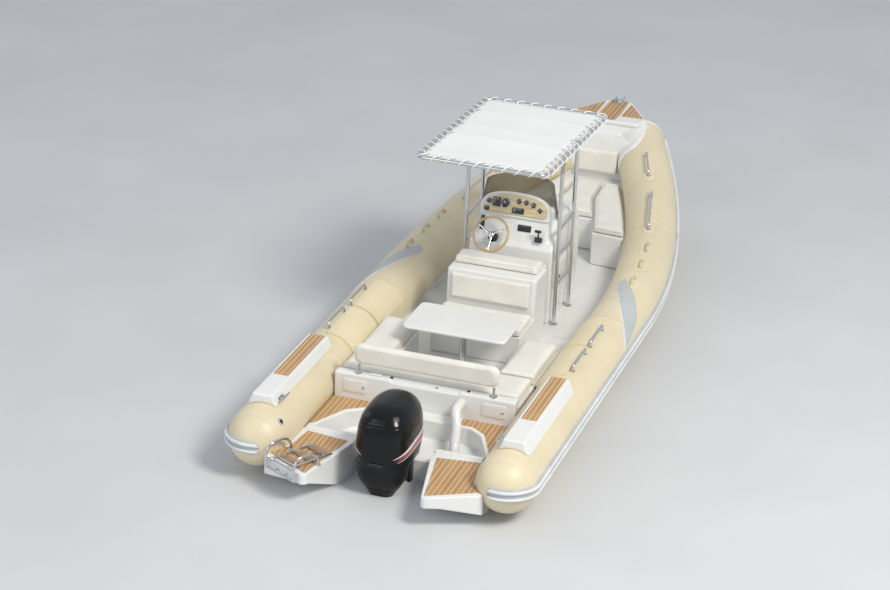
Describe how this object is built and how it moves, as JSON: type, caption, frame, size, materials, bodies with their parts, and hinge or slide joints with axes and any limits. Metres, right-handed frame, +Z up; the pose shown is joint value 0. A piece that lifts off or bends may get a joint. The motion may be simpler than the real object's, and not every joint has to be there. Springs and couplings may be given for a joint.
{
  "type": "rigid inflatable boat",
  "caption": "Rigid inflatable boat with two ivory tubes, centre console under a white canopy, dinette, bow cushions, teak decks and a large black outboard engine.",
  "frame": {"origin": "on the centreline at the waterline, in the plane of the transom's outer face", "axes": "+X forward along the keel, +Y to port, +Z up; right-handed, metres"},
  "size_m": [8.2227, 2.888, 3.0999],
  "materials": {
    "tube_fabric": "ivory coated fabric, satin",
    "bolster_fabric": "cream coated fabric, satin",
    "strake_rubber": "light grey rubber, matte",
    "handle_fabric": "ivory rubber, satin",
    "gelcoat": "white gelcoat, gloss",
    "deck_gelcoat": "off-white non-slip gelcoat",
    "teak": "oiled teak planks with light seams",
    "upholstery": "ivory marine vinyl, satin",
    "canopy_fabric": "white woven awning fabric",
    "stainless": "polished stainless steel",
    "dash_tan": "tan wood-effect panel, gloss",
    "instrument_black": "black instruments, gloss",
    "wheel_rim": "light wood rim, varnished",
    "control_black": "black, satin",
    "smoked_screen": "smoked acrylic",
    "engine_paint": "black engine paint, semi-gloss",
    "cowl_gloss": "black engine cowl, gloss",
    "cast_engine": "grey cast metal",
    "propeller_paint": "black propeller paint",
    "hose_white": "white corrugated hose"
  },
  "bodies": {
    "boat": {"anchor_roller": "stainless", "backrest_posts": "stainless", "bow_backrest": "upholstery", "bow_cushion_centre": "upholstery", "bow_cushion_port": "upholstery", "bow_cushion_stbd": "upholstery", "bow_deck": "gelcoat", "bow_eye": "stainless", "bow_locker": "gelcoat", "bow_moulding": "gelcoat", "bow_teak": "teak", "canopy": "canopy_fabric", "canopy_frame": "stainless", "clamp_bracket": "engine_paint", "cockpit_sole": "deck_gelcoat", "console": "gelcoat", "dash_panel": "dash_tan", "deck_teak": "teak", "dinette_bench": "gelcoat", "dinette_cushion_aft": "upholstery", "dinette_cushion_port": "upholstery", "dinette_cushion_stbd": "upholstery", "forward_cushion": "upholstery", "grab_rails": "stainless", "helm_back_pad": "upholstery", "helm_cushion": "upholstery", "helm_seat": "gelcoat", "hull": "gelcoat", "instruments": "instrument_black", "ladder_arches": "stainless", "mooring_cleats": "stainless", "rigging_hose": "hose_white", "rubbing_strakes": "strake_rubber", "steering_column": "control_black", "step_pads": "gelcoat", "step_teak": "teak", "stern_backrest": "upholstery", "stern_deck": "gelcoat", "swim_platform_port": "gelcoat", "swim_platform_stbd": "gelcoat", "table_pedestal": "stainless", "table_top": "gelcoat", "throttle": "control_black", "transom_eyes": "stainless", "tube_bolsters": "bolster_fabric", "tube_handles": "handle_fabric", "tube_port": "tube_fabric", "tube_stbd": "tube_fabric", "windscreen": "smoked_screen"},
    "engine_swivel": {"swivel_bracket": "engine_paint"},
    "engine": {"engine_leg": "engine_paint", "gearcase": "engine_paint", "lower_cowl": "engine_paint", "powerhead": "cast_engine", "upper_cowl": "cowl_gloss"},
    "screw": {"propeller": "propeller_paint"},
    "wheel": {"steering_wheel": "wheel_rim"},
    "ladder": {"swim_ladder": "stainless"}
  },
  "joints": [
    {"name": "engine_tilt", "type": "hinge", "parent": "boat", "child": "engine_swivel", "pos_m": [-0.01, 0, 0.255], "axis": [0, 1, 0], "range_deg": [0, 65]},
    {"name": "engine_steer", "type": "hinge", "parent": "engine_swivel", "child": "engine", "pos_m": [-0.15, 0, 0], "axis": [0, 0, 1], "range_deg": [-30, 30]},
    {"name": "propeller_spin", "type": "hinge", "parent": "engine", "child": "screw", "pos_m": [-0.56, 0, -0.68], "axis": [1, 0, 0], "continuous": true},
    {"name": "wheel_turn", "type": "hinge", "parent": "boat", "child": "wheel", "pos_m": [3.145, 0.17, 1.1], "axis": [-0.809, 0, 0.5878], "range_deg": [-540, 540]},
    {"name": "ladder_fold", "type": "hinge", "parent": "boat", "child": "ladder", "pos_m": [-0.80219, 0.78206, 0.337], "axis": [-0.4872, -0.8733, 0], "range_deg": [0, 255]}
  ],
  "couplings": [
    {"joint": "engine_steer", "follows": "wheel_turn", "ratio": -0.055556}
  ]
}
